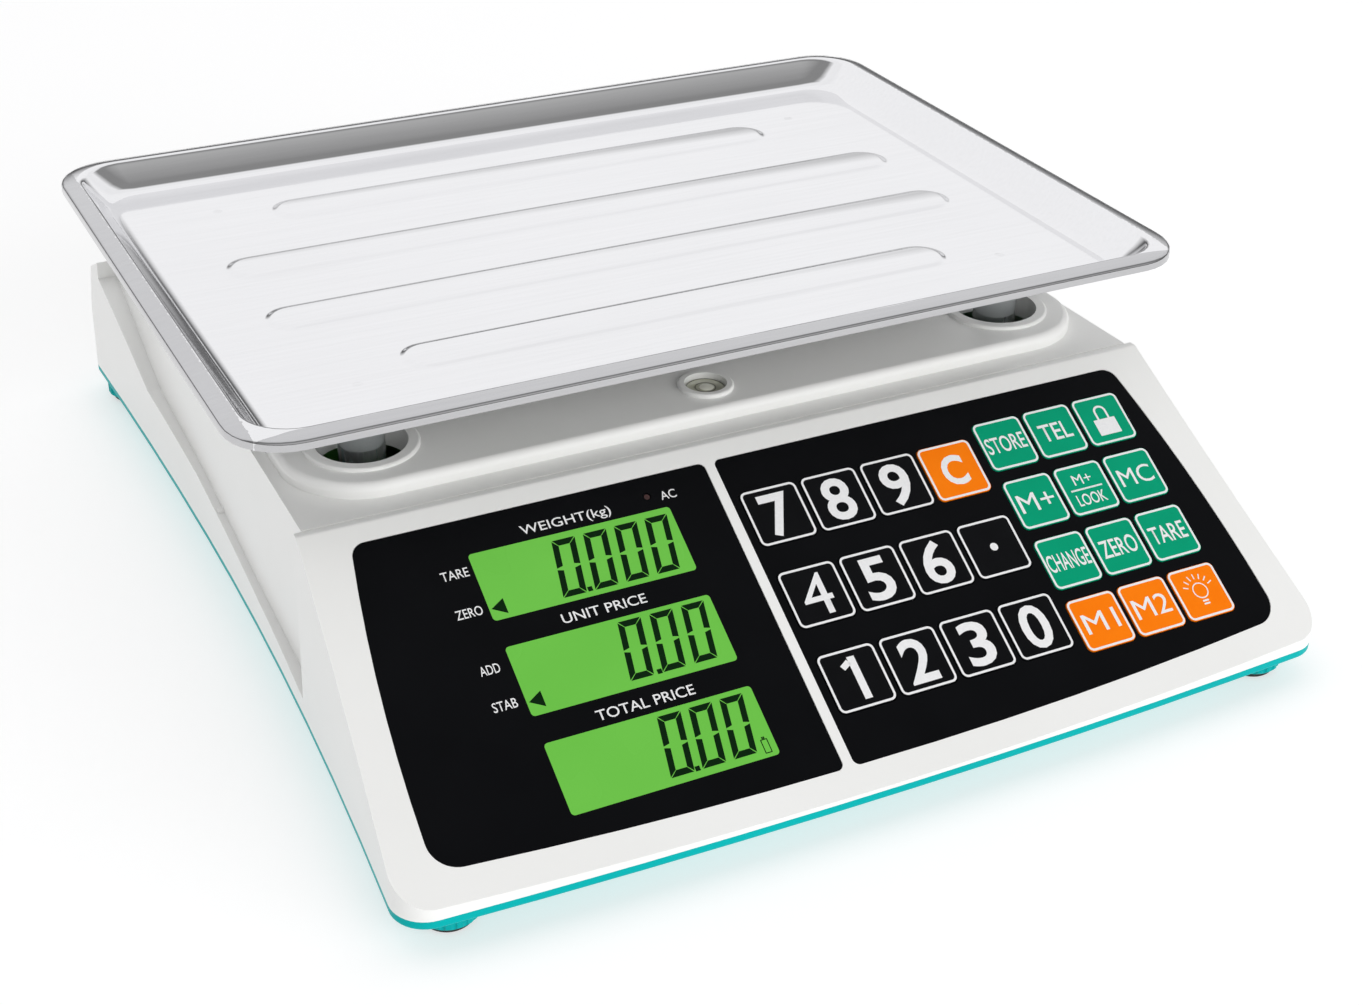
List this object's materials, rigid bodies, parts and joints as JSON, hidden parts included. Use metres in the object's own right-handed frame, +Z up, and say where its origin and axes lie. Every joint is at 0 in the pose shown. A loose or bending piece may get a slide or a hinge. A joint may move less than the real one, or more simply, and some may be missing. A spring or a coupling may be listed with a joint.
{
  "type": "retail price computing scale",
  "caption": "Counter price scale with a lift-off steel tray, sloped display and key panel, and levelling feet.",
  "frame": {"origin": "centre of the bounding box at the plane of the feet", "axes": "+X to the operator's right, +Y from the operator's side to the customer's side, +Z up"},
  "size_m": [0.336, 0.3864, 0.1127],
  "materials": {
    "white_shell": "fine satin moulded ABS",
    "teal_base": "satin moulded ABS",
    "display_sheet": "glossy printed sheet with clear windows",
    "keypad_sheet": "fine textured printed sheet",
    "lcd_module": "lit green display glass",
    "rear_lcd_module": "lit green display glass",
    "board": "solder-masked circuit board",
    "switch_can": "moulded switch body",
    "led_lens": "tinted lens",
    "level_ring": "white ring",
    "level_vial": "clear vial with pale liquid",
    "load_cell": "machined",
    "zinc_screw": "zinc plated",
    "battery_case": "moulded case",
    "inlet": "black thermoplastic",
    "rocker": "black moulded rocker",
    "transformer": "laminations and taped coil",
    "bracket": "zinc-coated pressed steel",
    "post": "clear polycarbonate",
    "tray": "polished stainless sheet",
    "stud": "welded steel stud",
    "foot_rubber": "black rubber",
    "teal_foot": "knurled moulded foot",
    "key_black": "printed key",
    "key_green": "printed key",
    "key_orange": "printed key"
  },
  "bodies": {
    "housing": {"upper_housing": "white_shell", "lower_housing": "teal_base", "display_window": "display_sheet", "keypad_overlay": "keypad_sheet", "front_lcd_modules": "lcd_module", "front_display_board": "board", "keypad_board": "board", "key_switches": "switch_can", "ac_indicator_led": "led_lens", "level_bezel": "level_ring", "level_vial": "level_vial", "rear_display_window": "display_sheet", "rear_lcd_modules": "rear_lcd_module", "main_board": "board", "load_cell": "load_cell", "load_cell_bolts": "zinc_screw", "battery": "battery_case", "battery_door": "teal_base", "mains_inlet": "inlet", "power_switch_body": "inlet", "transformer": "transformer", "housing_screws": "zinc_screw"},
    "load_platform": {"platform_bracket": "bracket", "support_posts": "post", "platform_bolts": "zinc_screw"},
    "tray": {"weighing_tray": "tray", "tray_studs": "stud"},
    "rocker": {"power_rocker": "rocker"},
    "sole_front_left": {"foot_sole_front_left": "foot_rubber"},
    "foot_front_left": {"levelling_foot_front_left": "teal_foot"},
    "sole_front_right": {"foot_sole_front_right": "foot_rubber"},
    "foot_front_right": {"levelling_foot_front_right": "teal_foot"},
    "sole_rear_left": {"foot_sole_rear_left": "foot_rubber"},
    "foot_rear_left": {"levelling_foot_rear_left": "teal_foot"},
    "sole_rear_right": {"foot_sole_rear_right": "foot_rubber"},
    "foot_rear_right": {"levelling_foot_rear_right": "teal_foot"},
    "button_7": {"key_7": "key_black"},
    "button_8": {"key_8": "key_black"},
    "button_9": {"key_9": "key_black"},
    "button_clear": {"key_clear": "key_orange"},
    "button_4": {"key_4": "key_black"},
    "button_5": {"key_5": "key_black"},
    "button_6": {"key_6": "key_black"},
    "button_point": {"key_point": "key_black"},
    "button_1": {"key_1": "key_black"},
    "button_2": {"key_2": "key_black"},
    "button_3": {"key_3": "key_black"},
    "button_0": {"key_0": "key_black"},
    "button_store": {"key_store": "key_green"},
    "button_tel": {"key_tel": "key_green"},
    "button_lock": {"key_lock": "key_green"},
    "button_memory_add": {"key_memory_add": "key_green"},
    "button_memory_look": {"key_memory_look": "key_green"},
    "button_memory_clear": {"key_memory_clear": "key_green"},
    "button_change": {"key_change": "key_green"},
    "button_zero": {"key_zero": "key_green"},
    "button_tare": {"key_tare": "key_green"},
    "button_m1": {"key_m1": "key_orange"},
    "button_m2": {"key_m2": "key_orange"},
    "button_light": {"key_light": "key_orange"}
  },
  "joints": [
    {"name": "tray_lift", "type": "slide", "parent": "load_platform", "child": "tray", "axis": [0, 0, 1], "range_m": [0, 0.06]},
    {"name": "platform_flex", "type": "slide", "parent": "housing", "child": "load_platform", "axis": [0, 0, 1], "range_m": [-0.0005, 0], "stiffness_N_per_m": 100000, "springref_m": 0.0002, "deforming": ["load_cell"]},
    {"name": "rocker_tilt", "type": "hinge", "parent": "housing", "child": "rocker", "pos_m": [0.1512, 0.06, 0.0227], "axis": [0, 0, 1], "range_deg": [0, 16]},
    {"name": "sole_slide_front_left", "type": "slide", "parent": "housing", "child": "sole_front_left", "axis": [0, 0, -1], "range_m": [0, 0.00401]},
    {"name": "foot_turn_front_left", "type": "hinge", "parent": "sole_front_left", "child": "foot_front_left", "pos_m": [-0.143, -0.1753, 0.005], "axis": [0, 0, 1], "range_deg": [0, 1152]},
    {"name": "sole_slide_front_right", "type": "slide", "parent": "housing", "child": "sole_front_right", "axis": [0, 0, -1], "range_m": [0, 0.00401]},
    {"name": "foot_turn_front_right", "type": "hinge", "parent": "sole_front_right", "child": "foot_front_right", "pos_m": [0.143, -0.1753, 0.005], "axis": [0, 0, 1], "range_deg": [0, 1152]},
    {"name": "sole_slide_rear_left", "type": "slide", "parent": "housing", "child": "sole_rear_left", "axis": [0, 0, -1], "range_m": [0, 0.00401]},
    {"name": "foot_turn_rear_left", "type": "hinge", "parent": "sole_rear_left", "child": "foot_rear_left", "pos_m": [-0.143, 0.176, 0.005], "axis": [0, 0, 1], "range_deg": [0, 1152]},
    {"name": "sole_slide_rear_right", "type": "slide", "parent": "housing", "child": "sole_rear_right", "axis": [0, 0, -1], "range_m": [0, 0.00401]},
    {"name": "foot_turn_rear_right", "type": "hinge", "parent": "sole_rear_right", "child": "foot_rear_right", "pos_m": [0.143, 0.176, 0.005], "axis": [0, 0, 1], "range_deg": [0, 1152]},
    {"name": "press_7", "type": "slide", "parent": "housing", "child": "button_7", "axis": [0, 0.512, -0.859], "range_m": [0, 0.00035], "stiffness_N_per_m": 3000, "springref_m": -0.00015},
    {"name": "press_8", "type": "slide", "parent": "housing", "child": "button_8", "axis": [0, 0.512, -0.859], "range_m": [0, 0.00035], "stiffness_N_per_m": 3000, "springref_m": -0.00015},
    {"name": "press_9", "type": "slide", "parent": "housing", "child": "button_9", "axis": [0, 0.512, -0.859], "range_m": [0, 0.00035], "stiffness_N_per_m": 3000, "springref_m": -0.00015},
    {"name": "press_clear", "type": "slide", "parent": "housing", "child": "button_clear", "axis": [0, 0.512, -0.859], "range_m": [0, 0.00035], "stiffness_N_per_m": 3000, "springref_m": -0.00015},
    {"name": "press_4", "type": "slide", "parent": "housing", "child": "button_4", "axis": [0, 0.512, -0.859], "range_m": [0, 0.00035], "stiffness_N_per_m": 3000, "springref_m": -0.00015},
    {"name": "press_5", "type": "slide", "parent": "housing", "child": "button_5", "axis": [0, 0.512, -0.859], "range_m": [0, 0.00035], "stiffness_N_per_m": 3000, "springref_m": -0.00015},
    {"name": "press_6", "type": "slide", "parent": "housing", "child": "button_6", "axis": [0, 0.512, -0.859], "range_m": [0, 0.00035], "stiffness_N_per_m": 3000, "springref_m": -0.00015},
    {"name": "press_point", "type": "slide", "parent": "housing", "child": "button_point", "axis": [0, 0.512, -0.859], "range_m": [0, 0.00035], "stiffness_N_per_m": 3000, "springref_m": -0.00015},
    {"name": "press_1", "type": "slide", "parent": "housing", "child": "button_1", "axis": [0, 0.512, -0.859], "range_m": [0, 0.00035], "stiffness_N_per_m": 3000, "springref_m": -0.00015},
    {"name": "press_2", "type": "slide", "parent": "housing", "child": "button_2", "axis": [0, 0.512, -0.859], "range_m": [0, 0.00035], "stiffness_N_per_m": 3000, "springref_m": -0.00015},
    {"name": "press_3", "type": "slide", "parent": "housing", "child": "button_3", "axis": [0, 0.512, -0.859], "range_m": [0, 0.00035], "stiffness_N_per_m": 3000, "springref_m": -0.00015},
    {"name": "press_0", "type": "slide", "parent": "housing", "child": "button_0", "axis": [0, 0.512, -0.859], "range_m": [0, 0.00035], "stiffness_N_per_m": 3000, "springref_m": -0.00015},
    {"name": "press_store", "type": "slide", "parent": "housing", "child": "button_store", "axis": [0, 0.512, -0.859], "range_m": [0, 0.00035], "stiffness_N_per_m": 3000, "springref_m": -0.00015},
    {"name": "press_tel", "type": "slide", "parent": "housing", "child": "button_tel", "axis": [0, 0.512, -0.859], "range_m": [0, 0.00035], "stiffness_N_per_m": 3000, "springref_m": -0.00015},
    {"name": "press_lock", "type": "slide", "parent": "housing", "child": "button_lock", "axis": [0, 0.512, -0.859], "range_m": [0, 0.00035], "stiffness_N_per_m": 3000, "springref_m": -0.00015},
    {"name": "press_memory_add", "type": "slide", "parent": "housing", "child": "button_memory_add", "axis": [0, 0.512, -0.859], "range_m": [0, 0.00035], "stiffness_N_per_m": 3000, "springref_m": -0.00015},
    {"name": "press_memory_look", "type": "slide", "parent": "housing", "child": "button_memory_look", "axis": [0, 0.512, -0.859], "range_m": [0, 0.00035], "stiffness_N_per_m": 3000, "springref_m": -0.00015},
    {"name": "press_memory_clear", "type": "slide", "parent": "housing", "child": "button_memory_clear", "axis": [0, 0.512, -0.859], "range_m": [0, 0.00035], "stiffness_N_per_m": 3000, "springref_m": -0.00015},
    {"name": "press_change", "type": "slide", "parent": "housing", "child": "button_change", "axis": [0, 0.512, -0.859], "range_m": [0, 0.00035], "stiffness_N_per_m": 3000, "springref_m": -0.00015},
    {"name": "press_zero", "type": "slide", "parent": "housing", "child": "button_zero", "axis": [0, 0.512, -0.859], "range_m": [0, 0.00035], "stiffness_N_per_m": 3000, "springref_m": -0.00015},
    {"name": "press_tare", "type": "slide", "parent": "housing", "child": "button_tare", "axis": [0, 0.512, -0.859], "range_m": [0, 0.00035], "stiffness_N_per_m": 3000, "springref_m": -0.00015},
    {"name": "press_m1", "type": "slide", "parent": "housing", "child": "button_m1", "axis": [0, 0.512, -0.859], "range_m": [0, 0.00035], "stiffness_N_per_m": 3000, "springref_m": -0.00015},
    {"name": "press_m2", "type": "slide", "parent": "housing", "child": "button_m2", "axis": [0, 0.512, -0.859], "range_m": [0, 0.00035], "stiffness_N_per_m": 3000, "springref_m": -0.00015},
    {"name": "press_light", "type": "slide", "parent": "housing", "child": "button_light", "axis": [0, 0.512, -0.859], "range_m": [0, 0.00035], "stiffness_N_per_m": 3000, "springref_m": -0.00015}
  ],
  "couplings": [
    {"joint": "sole_slide_front_left", "follows": "foot_turn_front_left", "m_per_rad": 0.00019894},
    {"joint": "sole_slide_front_right", "follows": "foot_turn_front_right", "m_per_rad": 0.00019894},
    {"joint": "sole_slide_rear_left", "follows": "foot_turn_rear_left", "m_per_rad": 0.00019894},
    {"joint": "sole_slide_rear_right", "follows": "foot_turn_rear_right", "m_per_rad": 0.00019894}
  ]
}
